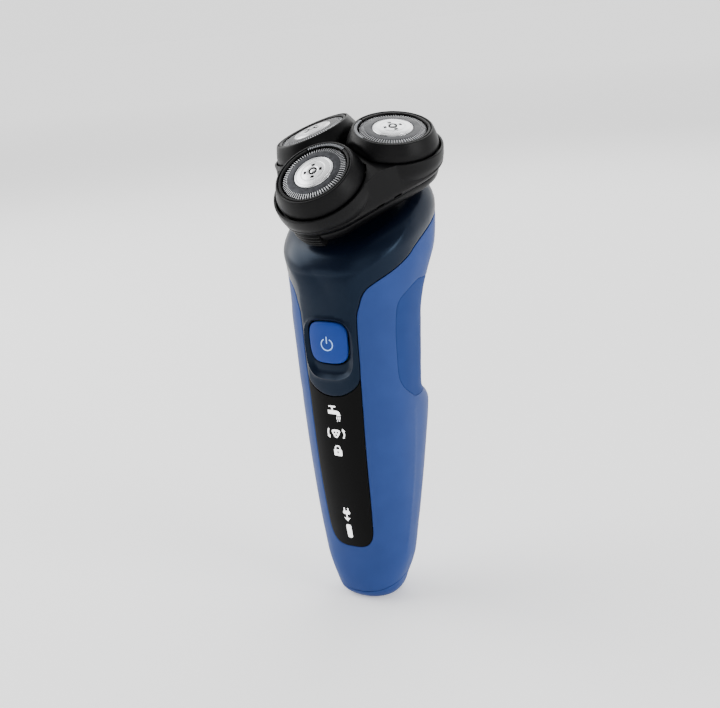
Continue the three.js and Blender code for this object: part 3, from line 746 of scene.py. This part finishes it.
tap = [
    [lozenge(-1.75, 0.75, 2.0, 2.5, 0.24)],
    [lozenge(-0.75, -0.25, 1.05, 2.1, 0.1)],
    [np.array([(-2.1, -0.3), (-2.1, 0.95), (0.8, 0.95), (1.55, 0.75), (2.0, 0.25), (2.15, -0.5),
               (2.15, -0.8), (1.0, -0.8), (0.95, -0.45), (0.7, -0.3)])[::-1]],
    *[[slanted(x, -1.1, 0.85)] for x in (1.05, 1.6, 2.15)],
    *[[slanted(x, -2.15, 0.5)] for x in (1.3, 1.95)],
]


def polar_deg(radius, degrees):
    return polar(radius, math.radians(degrees))


def arrow(turn):
    """A bent arrow beside the shaving head sign."""
    tip = [polar_deg(radius, turn + a) for radius, a in ((2.35, 17), (3.5, 17), (2.95, 38))]
    return [band(2.7, 3.15, turn - 30, turn + 18)], [np.array(tip)]


TRIANGLE = 2.35
corners = [(x, z - 0.1) for x, z in (polar_deg(TRIANGLE, a) for a in (90, 210, 330))]
triangle = np.array(rounded(corners, TRIANGLE * 0.7, 6, closed=True)) * [1, -1]
head_sign = [[triangle[::-1], *[dot(polar_deg(0.62, a)) for a in (30, 150, 270)]], *arrow(0), *arrow(180)]
shackle = (0, 0.75)
lock = [
    [lozenge(-1.45, 1.45, -1.85, 0.4, 0.4), dot((0, -0.6))],
    [np.concatenate([arc(1.05, 0, 180, shackle), [(-1.05, 0.5), (-0.65, 0.5)],
                     arc(0.65, 0, 180, shackle)[::-1], [(0.65, 0.5), (1.05, 0.5)]])],
]
plug = [
    [lozenge(-1.35, 1.35, 0.0, 1.3, 0.5)],
    [lozenge(-0.95, -0.5, 1.35, 2.4, 0.15)],
    [lozenge(0.5, 0.95, 1.35, 2.4, 0.15)],
    [lozenge(-0.25, 0.25, -1.3, -0.05, 0.1)],
    [np.array([(-1.25, -1.35), (0, -2.6), (1.25, -1.35)])],
]
bar_sign = [[lozenge(-1.0, 1.0, -2.5, 2.5, 0.6)]]
for name, height, shapes in (("tap", 68.3, tap), ("heads", 61.4, head_sign), ("lock", 55.5, lock),
                             ("plug", 32.4, plug), ("charge", 26.0, bar_sign)):
    sign(f"sign_{name}", on_strip(height), shapes, LIGHT, "handle")


# ---- housing, grip, window and cap
def wrapped(points):
    """The mirror image, counted the long way round."""
    return mirror(points) + [2 * U_HALF, 0]


GRIP_SIDE = smooth(on_side([
    (24, 68.2), (14, 69.2), (8.5, 69.4), (5.5, 69.9), (3.1, 71.6), (0.6, 73.6), (-0.8, 75.3),
    (-2.0, 77.8), (-2.4, 81), (-2.45, 87), (-2.3, 95.4), (-1.5, 100.6), (0, 103.4), (3.6, 105.7),
    (8.8, 107.6), (14, 107.4), (19, 106.6),
]))
(low_u, low_v), (high_u, high_v) = GRIP_SIDE[0], GRIP_SIDE[-1]
grip_bottom = level(2 * U_HALF - low_u, low_u, 30, low_v)[1:-1]
grip_top = level(high_u, 2 * U_HALF - high_u, 30, high_v)[1:-1]
GRIP_LOOP = resample(np.concatenate([wrapped(GRIP_SIDE), grip_bottom, GRIP_SIDE, grip_top])[::-1], 0.6)
RIDGE_DEPTH, RIDGE_PITCH = 0.28, 2.4


def grip_lift(p):
    """Soft horizontal ridges across the middle of the back."""
    width = step_up(14.0 - np.abs(p[:, 0] - U_HALF), 0, 4)
    height = step_up(p[:, 1], 77, 80) * step_up(100 - p[:, 1], 0, 3)
    wave = 0.5 - 0.5 * np.cos((p[:, 1] - 78) * math.tau / RIDGE_PITCH)
    return -RIDGE_DEPTH * width * height * wave


patch("grip_panel", [parallel(GRIP_LOOP, GAP, closed=True)], GRIP, "handle", ["rear_grip"],
      lift=grip_lift, roll=0.4, thick=1.0, step=0.7)

FACET = smooth(on_side([(4.6, 66), (4.2, 55.2), (2.4, 40.2), (0.5, 30), (-1, 20.5), (-2, 12)]))


def housing_lift(p):
    """A faint crease runs down each side below the grip."""
    q = np.stack([np.where(p[:, 0] > U_HALF, 2 * U_HALF - p[:, 0], p[:, 0]), p[:, 1]], 1)
    near = distance(q, FACET[:-1], FACET[1:])
    return 0.16 * np.exp(-near / 1.6) * step_up(p[:, 1], 10, 22)


window_side = parallel(DISPLAY_SIDE, GAP)
window_side[0, 0] = 0
side = parallel(COVER_SIDE, GAP)
side[-1, 0] = U_HALF
around = np.linspace(0, 2 * U_HALF, 170)
seam = np.stack([around, seam_height(around) + GAP], 1)
front_cut = rise(0, seam[0, 1], window_side[0, 1])
housing_loop = looped(seam, front_cut + [2 * U_HALF, 0], wrapped(window_side)[::-1], wrapped(side)[::-1],
                      side[::-1], window_side[::-1], front_cut[::-1])


def at_front(p):
    """The points where the housing meets itself, at the front."""
    return (p[:, 0] < 1e-6) | (p[:, 0] > 2 * U_HALF - 1e-6)


patch("housing_panel", [housing_loop, parallel(GRIP_LOOP, -GAP, closed=True)[::-1]], BLUE, "handle",
      ["main_housing"], lift=housing_lift, roll=0.25, thick=1.6, free=at_front,
      extra=[FACET, wrapped(FACET)])

glass = parallel(DISPLAY_SIDE, -GAP)
top = parallel(TONGUE, GAP)[::-1]
window_loop = looped(glass[:-1], top, mirror(top), mirror(glass[:-1]))
patch("display_glass", [window_loop], GLOSS, "handle", ["display_window"], roll=0.2)

FOOT_V = V_END + 0.3  # the cap ends here, inside the inlet
foot_ring = level(U_HALF, -U_HALF, 90, FOOT_V)
cap_seam = np.stack([np.linspace(-U_HALF, U_HALF, 170)] * 2, 1)
cap_seam[:, 1] = seam_height(cap_seam[:, 0]) - GAP
cap_back = rise(U_HALF, FOOT_V, cap_seam[-1, 1])
cap_loop = looped(cap_seam[::-1], mirror(cap_back), foot_ring[::-1], cap_back)
patch("cap_panel", [cap_loop[::-1]], BLUE, "handle", ["bottom_cap"], roll=0.35, thick=1.6, free=at_back)

# ---- solids for the head
LOBE_PITCH = 15.6  # from the head's axis to the middle of a lobe
HINGE = (22.4, -15.15)  # y, z of the hinge's axis in the head's frame
HINGE_TURN = Matrix.Rotation(math.pi / 2, 4, "Y")  # lays a turned body along the hinge
HINGE_HALF, HINGE_MIDDLE = 11, 7  # half lengths of the pin and of the shaving unit's knuckle
PLAY = 0.3  # between two knuckles
KNUCKLE, KNUCKLE_ROOM = 1.6, 2.0  # radii
OUTER_KNUCKLES = (HINGE_MIDDLE + PLAY, HINGE_HALF), (-HINGE_HALF, -HINGE_MIDDLE - PLAY)
FLAT_STEPS = 10


def lobe_point(centre_angle, radius, angle, z):
    (cx, cy), (x, y) = polar(LOBE_PITCH, centre_angle), polar(radius, angle)
    return cx + x, cy + y, z


def lobe_ring(z, radius):
    """A rounded triangle with a lobe under each guard."""
    ring = []
    for angle in HEAD_ANGLES:
        ring += [lobe_point(angle, radius, angle + t, z) for t in np.linspace(-math.pi / 3, math.pi / 3, 26)]
        here = np.array(ring[-1])
        there = np.array(lobe_point(angle + math.tau / 3, radius, angle + math.pi / 3, z))
        ring += [tuple(here + (there - here) * k / FLAT_STEPS) for k in range(1, FLAT_STEPS)]
    return ring


def lofted(rings):
    """Points and faces of a closed body through rings of points."""
    count = len(rings[0])
    faces = [tuple(range(count))[::-1], tuple(range((len(rings) - 1) * count, len(rings) * count))]
    for j in range(len(rings) - 1):
        for i in range(count):
            a, b = j * count + i, j * count + (i + 1) % count
            faces.append((a, b, b + count, a + count))
    return [p for ring in rings for p in ring], faces


def lobed(rows):
    return lofted([lobe_ring(z, radius) for z, radius in rows])


def prism(outline, z0, z1):
    return lofted([[(x, y, z) for x, y in outline] for z in (z0, z1)])


def bar(x0, x1, y0, y1, z0, z1):
    return prism([(x0, y0), (x1, y0), (x1, y1), (x0, y1)], z0, z1)


def joined(shapes):
    """Several bodies as one list of points and one of faces."""
    points, faces = [], []
    for own_points, own_faces in shapes:
        faces += [tuple(i + len(points) for i in face) for face in own_faces]
        points += list(own_points)
    return points, faces


def tool(shape, matrix=HEAD):
    """A body to join or cut with."""
    mesh = mesh_of("tool", *shape, matrix)
    tidy(mesh)
    return linked("tool", mesh)


def combine(base, tools, operation="DIFFERENCE"):
    """Joins the tools to the base or cuts it with them, and removes them."""
    for other in tools:
        change = base.modifiers.new("change", "BOOLEAN")
        change.object, change.operation, change.solver = other, operation, "MANIFOLD"
    graph = bpy.context.evaluated_depsgraph_get()
    mesh = bpy.data.meshes.new_from_object(base.evaluated_get(graph))
    base.modifiers.clear()
    base.data = mesh
    for other in tools:
        bpy.data.objects.remove(other)
    return base


def named(obj, name, material, body, stands_for):
    obj.name = obj.data.name = name
    finish(obj, material, body, stands_for, SOLID_SHARP)


def above(height):
    """All that is above a height on a guard's axis, for each guard."""
    return [tool(bar(-60, 60, -60, 60, height, 40), unit_matrix(a)) for a in HEAD_ANGLES]


def rod(radius, z0, z1, at=(0, 0)):
    points, faces = revolve([(0, z0), (radius, z0), (radius, z1), (0, z1)], 40)
    return points + [*at, 0], faces


def knuckle(radius, x0, x1):
    """A rod along the hinge."""
    points, faces = rod(radius, x0, x1)
    lie = Matrix.Translation((0, *HINGE)) @ HINGE_TURN
    return [lie @ Vector(p) for p in points], faces


def pin_bore():
    return tool(knuckle(1.0, -20, 20))


# ---- holder with its three cups
core = tool(lobed([
    (-15, 12.9), (-14.75, 13.25), (-13.7, 14.2), (-13.3, 14.35), (-12.9, 14.2), (-12.4, 14.1), (1, 13.4),
]))
cup_profile = rounded([
    (0, -13.5), (13.0, -13.5), (15.0, -11.6), (16.0, -8.6), (15.75, -4.4), (0, -4.4),
], 1.2, 6)
cups = [tool(revolve(cup_profile, 128), unit_matrix(a)) for a in HEAD_ANGLES]
combine(core, cups, "UNION")
floor_cut = tool(bar(-60, 60, -60, 60, -40, -15))
pocket_profile = [(0, -7.9), (14.5, -7.9), (15.05, -6.9), (15.05, 8), (0, 8)]
WEB = 0.75  # half thickness of the web between two pockets


def third(angle, stand_off):
    """The part of the head that belongs to one guard."""
    tip = np.array(polar(stand_off / math.sin(math.pi / 3), angle))
    outline = [tuple(tip), *[tuple(tip + polar(80, angle + t)) for t in (-math.pi / 3, 0, math.pi / 3)]]
    return prism(outline, -50, 50)


pockets = [combine(tool(revolve(pocket_profile, 128), unit_matrix(a)), [tool(third(a, WEB))], "INTERSECT")
           for a in HEAD_ANGLES]
drive_holes = [tool(rod(6.5, -14, -5), unit_matrix(a)) for a in HEAD_ANGLES]
hollow = combine(tool(lobed([(-16, 11.4), (-12.2, 12.6), (-9, 12.8), (1, 12.2)])), above(-9.3))
combine(core, [floor_cut, *above(-5), hollow, *pockets, *drive_holes])
well = tool(revolve(rounded([(0, -3.4), (3.6, -3.4), (5.2, 0.5), (5.2, 6), (0, 6)], 0.8), 64))
lugs = [tool(bar(x0, x1, 18.6, HINGE[0], -15, HINGE[1] + KNUCKLE)) for x0, x1 in OUTER_KNUCKLES]
ends = [tool(knuckle(KNUCKLE, x0, x1)) for x0, x1 in OUTER_KNUCKLES]
posts = [tool(bar(-0.8, 0.8, y - 0.5, y + 0.5, -8.4, -6.6), unit_matrix(a))
         for a in HEAD_ANGLES for y in (-12.05, 12.05)]
combine(core, lugs + ends + posts, "UNION")
slots = []
for angle in HEAD_ANGLES:
    flank = HEAD @ Matrix.Rotation(angle + math.pi / 3, 4, "Z")
    slots += [tool(bar(19.8, 24, y - 1.4, y + 1.4, -14.35, -13.45), flank) for y in (-3.2, 3.2)]
room = tool(knuckle(KNUCKLE_ROOM, -HINGE_MIDDLE - PLAY, HINGE_MIDDLE + PLAY))
combine(core, [well, room, pin_bore(), *slots])
named(core, "holder_shell", BLACK, "holder", ["holder_frame"])

# ---- shaving unit below the holder
chamber = tool(lobed([(-18.9, 9.9), (-18.75, 10.15), (-17.6, 11.6), (-15.6, 12.6), (-15.3, 12.6)]))
combine(chamber, [tool(lobed([(-17.3, 11.1), (-14.0, 11.1), (-13.8, 10.9)]))], "UNION")
combine(chamber, [tool(lobed([(-17.3, 9.9), (-13, 9.9)]))])
LATCH_X = (-9.0, 2.4)  # the latch sits a little left of the middle
screw_at = [polar(12.5, a + math.pi / 3) for a in HEAD_ANGLES]
combine(chamber, [
    *[tool(rod(1.9, -17.8, -14.2, p)) for p in screw_at],
    tool(bar(-HINGE_MIDDLE, HINGE_MIDDLE, 17.5, HINGE[0], HINGE[1] - KNUCKLE, -15.3)),
    tool(knuckle(KNUCKLE, -HINGE_MIDDLE, HINGE_MIDDLE)),
], "UNION")
combine(chamber, [
    *[tool(rod(1.1, -16.6, -10, p)) for p in screw_at],
    tool(knuckle(KNUCKLE_ROOM, HINGE_MIDDLE + PLAY / 2, 12)),
    tool(knuckle(KNUCKLE_ROOM, -12, -HINGE_MIDDLE - PLAY / 2)),
    pin_bore(),
    tool(bar(LATCH_X[0] - 0.4, LATCH_X[1] + 0.4, -60, -23.3, -30, -15.5)),
    tool(rod(3.5, -30, -10)),
])
named(chamber, "chamber_shell", BLACK, "shaving_unit", ["hair_chamber"])

sleeve = rounded([
    (5.2, -22.4), (7.4, -22.4), (7.4, -20.6), (7.15, -20.5), (7.15, -20.2), (7.4, -20.1), (7.4, -19.2),
    (5.2, -19.2),
], 0.15, closed=True)
turned("sleeve", sleeve, BLACK, "shaving_unit", ["coupling_sleeve"], HEAD)
collar = rounded([
    (7.7, -25), (9.3, -25), (9.3, -21.7), (11, -21.7, 0.1), (11, -20.4, 0.5), (10.4, -19.5),
    (9.9, -19.5, 0.1), (9.8, -19.8, 0.1), (8.9, -19.8, 0.1), (8.7, -19.3), (7.7, -19.3),
], 0.3, closed=True)
turned("collar", collar, BLACK, "handle", ["neck_collar"], HEAD)
pin_end = [(0.8, HINGE_HALF - 0.2), (0.65, HINGE_HALF), (0, HINGE_HALF)]
pin = [(r, -x) for r, x in pin_end[::-1]] + pin_end
lying = HEAD @ Matrix.Translation((0, *HINGE)) @ HINGE_TURN
turned("pin", pin, STEEL, "shaving_unit", ["hinge_pin"], lying, 32)


def sector(profile, start, end, steps=24):
    """Points and faces of a profile swept part of the way round z."""
    count = len(profile)
    points, faces = [], [tuple(range(count)), tuple(range(steps * count, (steps + 1) * count))[::-1]]
    for k in range(steps + 1):
        angle = start + (end - start) * k / steps
        points += [(r * math.cos(angle), r * math.sin(angle), z) for r, z in profile]
    for k in range(steps):
        for j in range(count):
            a, b = k * count + j, k * count + (j + 1) % count
            faces.append((a, a + count, b + count, b))
    return points, faces


latch_profile = rounded([
    (9.4, -15.4), (12.5, -15.4), (12.9, -15.9), (12.9, -16.3), (12.2, -16.7), (12.7, -17.0), (12.65, -17.5),
    (11.9, -17.85), (12.35, -18.15), (12.2, -18.65), (11.4, -18.95), (11.75, -19.25), (11.4, -19.85),
    (10.9, -20.2), (9.4, -20.2),
], 0.22, 4, closed=True)
latch_place = HEAD @ Matrix.Translation((0, -LOBE_PITCH, 0))
latch = combine(tool(sector(latch_profile, -math.radians(140), -math.radians(72), 44), latch_place),
                [tool(bar(*LATCH_X, -20, 0, -30, 0), latch_place)], "INTERSECT")
named(latch, "latch", BLACK, "release_latch", ["release_button"])

# ---- the three flexing heads
FLEX_GAP = 1.2  # from a ring to the plane between it and the next one
FLEX_PROFILE = rounded([
    (12.9, -6.4), (13.8, -6.4, 0.3), (14.5, -5.2, 0.9), (14.15, -3.4, 1.2), (13.2, -1.1, 1.0),
    (12.55, 0.2, 0.3), (12.0, 0.24, 0.06), (11.95, -0.4, 0.06), (11.62, -0.4, 0.06), (11.57, 0.16, 0.06),
    (10.95, 0.12, 0.08), (10.8, -0.2, 0.12), (10.78, -3.2), (12.9, -3.4),
], 0.15, 4, closed=True)
COMB = math.radians(34)  # half the toothed recess, on the side towards the head's axis
COMB_DEPTH = 0.9
COMB_TEETH = 22
COMB_TOOTH = [(11.0, -COMB_DEPTH), (11.85, -COMB_DEPTH), (11.85, 0.12), (11.0, 0.12)]
TOOTH_HALF = 0.011  # radians


def flex_shape(angle):
    """Sinks the comb's recess into a ring and cuts the ring back where it would meet its neighbours."""
    own = Matrix.Rotation(angle, 4, "Z") @ SPREAD
    turn, shift = np.array(own.to_3x3()), np.array(own.to_translation())

    def shape(points, angles):
        off = np.abs(angles - math.pi)
        sunk = step_up(COMB + 0.03 - off, 0, 0.05)[:, None]
        radius = np.hypot(points[..., 0], points[..., 1])
        ledge = (radius > 10.9) & (radius < 11.93) & (points[..., 2] > -0.1)
        points[..., 2] -= np.where(ledge, COMB_DEPTH * sunk, 0)
        placed = points @ turn.T + shift
        for side in (-1, 1):
            normal = np.array([*polar(1, angle + side * math.pi / 6), 0])
            over = np.clip(FLEX_GAP - placed @ normal, 0, None)
            placed += over[..., None] * normal
        return placed

    return shape


def comb():
    """Fine upright teeth in the recess of a flex ring."""
    middles = [math.pi + (k + 0.5 - COMB_TEETH / 2) * 2 * COMB / COMB_TEETH for k in range(COMB_TEETH)]
    return joined(sector(COMB_TOOTH, a - TOOTH_HALF, a + TOOTH_HALF, 1) for a in middles)


GUARD_ROWS = [
    (5.6, -0.1), (6.5, -0.1), (6.7, 0.12), (7.1, 0.13), (7.8, 0.11), (8.5, 0.05), (8.8, 0.02), (9.3, -0.04),
    (9.8, -0.12), (10.15, -0.22), (10.38, -0.36), (10.52, -0.55), (10.58, -0.8), (10.6, -1.2), (10.6, -3.2),
]
SLIT_ROWS = (6, 11)
BARS_FROM, BARS_TO = GUARD_ROWS[SLIT_ROWS[0]][0], 10.55
SLITS = 76
ACROSS, OPEN = 5, 3  # columns to a slit and its bar, and how many of them are open


def guard_shape():
    """A domed sheet with slits."""
    points, faces = revolve(GUARD_ROWS, SLITS * ACROSS)
    kept = []
    for n, face in enumerate(faces):
        column, row = divmod(n, len(GUARD_ROWS))
        slit = column % ACROSS < OPEN and SLIT_ROWS[0] <= row < SLIT_ROWS[1]
        if row < len(GUARD_ROWS) - 1 and not slit:
            kept.append(face[::-1])
    return points, kept


DISC_PROFILE = rounded([
    (0, -0.05), (6.3, -0.05), (6.3, 0.1), (6.1, 0.3), (5.75, 0.4), (5.68, 0.3), (5.52, 0.3), (5.45, 0.44),
    (4.4, 0.58), (3.95, 0.63), (3.88, 0.57), (3.72, 0.57), (3.65, 0.66), (1.85, 0.77), (1.6, 0.7), (0.8, 0.7),
    (0.6, 0.84), (0, 0.86),
], 0.06)
# painted shade of the disc's central groove and of its four slots
SHADE_RING = [(0.9, 0.5), (1.4, 0.5), (1.4, 0.79), (0.9, 0.79)]
SHADE_ARC = [(2.1, 0.6), (3.0, 0.6), (3.0, 0.74), (2.1, 0.8)]
SHADE_HALF = 0.22  # radians
SHADE_ANGLES = [quarter * math.pi / 2 + math.radians(20) for quarter in range(4)]


def disc_shades():
    """Painted shade: a dark ring round the disc's boss where its groove is, and four short dark arcs round
    the ring where its slots are.
    """
    arcs = [sector(SHADE_ARC, a - SHADE_HALF, a + SHADE_HALF, 8) for a in SHADE_ANGLES]
    return joined([revolve(SHADE_RING, 64), *arcs])


for k, angle in enumerate(HEAD_ANGLES, 1):
    body, unit = f"flex_head_{k}", unit_matrix(angle)
    turned(f"flex_rim_{k}", FLEX_PROFILE, BLACK, body, [f"flex_ring_{k}"], HEAD, 180, flex_shape(angle))
    make(f"flex_comb_{k}", *comb(), STEEL, body, matrix=unit)
    guard = make(f"guard_{k}", *guard_shape(), GUARD, body, [f"cutter_guard_{k}"], unit, GUARD_SHARP)
    guard.data.materials.append(BARS_HIGHLIGHT)
    guard.data.materials.append(PAINTED_SHADE)
    # the slotted zone takes the lighter copy of the steel, a painted highlight
    middle = Vector(unit.translation) * MM
    for face in guard.data.polygons:
        face.material_index = int(BARS_FROM * MM < (face.center - middle).length < BARS_TO * MM)
    wall = thicken(guard, 0.35)
    wall.material_offset = wall.material_offset_rim = 2  # painted shade: the wall's inside and the slits' sides are near black
    turned(f"disc_{k}", DISC_PROFILE, SILVER, body, [f"cap_disc_{k}"], unit, 128)
    # painted shade on the disc, for its groove and its slots
    make(f"disc_shades_{k}", *disc_shades(), PAINTED_SHADE, body, matrix=unit)

# ---- the works that come from the frame
LOOKS = {look["slot"]: look for look in (BLUE, GRIP, NAVY, BUTTON, BLACK, RUBBER, GLOSS, GUARD, SILVER, STEEL,
                                         BRASS, IVORY, BOARD, CELL)}
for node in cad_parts.values():
    for entry in node.material_slots:
        entry.material = LOOKS[entry.material.name]

# ---- camera, light and floor
camera = linked("camera", bpy.data.cameras.new("camera"))
camera.data.sensor_width, camera.data.lens = 36, 54.31
right, up, back = (0.8559, 0.5090, -0.0915), (-0.0757, 0.2984, 0.9514), (0.5116, -0.8074, 0.2940)
turn = Matrix((right, up, back)).transposed().to_4x4()
camera.matrix_world = Matrix.Translation(Vector((182.0, -289.7, 186.9)) * MM) @ turn
camera.data.clip_start = 0.01
bpy.context.scene.camera = camera


def lamp(name, location, size, power):
    """A square lamp that faces the middle of the object, in metres and watts."""
    light = bpy.data.lights.new(name, "AREA")
    light.size, light.energy = size, power
    obj = linked(name, light)
    obj.location = location
    obj.rotation_euler = (Vector((0, 0, 0.09)) - Vector(location)).to_track_quat("-Z", "Y").to_euler()


lamp("key", (-0.85, -0.2, 0.65), 0.9, 11)
lamp("fill", (0.5, -0.9, 0.5), 0.8, 3)
lamp("rim", (-0.2, 0.8, 0.7), 0.7, 3.5)
lamp("side", (0.9, -0.04, 0.36), 0.45, 6)
world = bpy.data.worlds.new("studio")
world.use_nodes = True
nodes, links = world.node_tree.nodes, world.node_tree.links
facing = nodes.new("ShaderNodeVectorMath")
facing.operation = "DOT_PRODUCT"
facing.inputs[1].default_value = (-0.52, 0.84, 0.08)  # the world is brightest in this direction
links.new(nodes.new("ShaderNodeTexCoord").outputs["Generated"], facing.inputs[0])
fade = ranged(nodes, links, facing.outputs["Value"], 0.22, 1.68, -0.5, 0.5)
fade.interpolation_type = "SMOOTHSTEP"
links.new(fade.outputs["Result"], nodes["Background"].inputs["Strength"])
nodes["Background"].inputs["Color"].default_value = (1, 1, 1, 1)
bpy.context.scene.world = world

paper = Shader("floor_paper", "F4F4F4", 0.9)
paper.bsdf.inputs["Emission Color"].default_value = (1, 1, 1, 1)
away = paper.nodes.new("ShaderNodeVectorMath")
away.operation = "LENGTH"
paper.links.new(paper.where, away.inputs[0])
brighter = paper.spread(away.outputs["Value"], 0.35, 0.74, 0.3, 3)  # the floor whitens with distance
paper.links.new(brighter, paper.bsdf.inputs["Emission Strength"])
FLOOR = 40
floor_mesh = bpy.data.meshes.new("floor")
floor_mesh.from_pydata([(x * FLOOR, y * FLOOR, 0) for x, y in ((-1, -1), (1, -1), (1, 1), (-1, 1))],
                       [], [(0, 1, 2, 3)])
floor = linked("floor", floor_mesh)
floor_mesh.materials.append(paper.mottle(300, 0.01).grain(2, 0.02, 0.1).material)
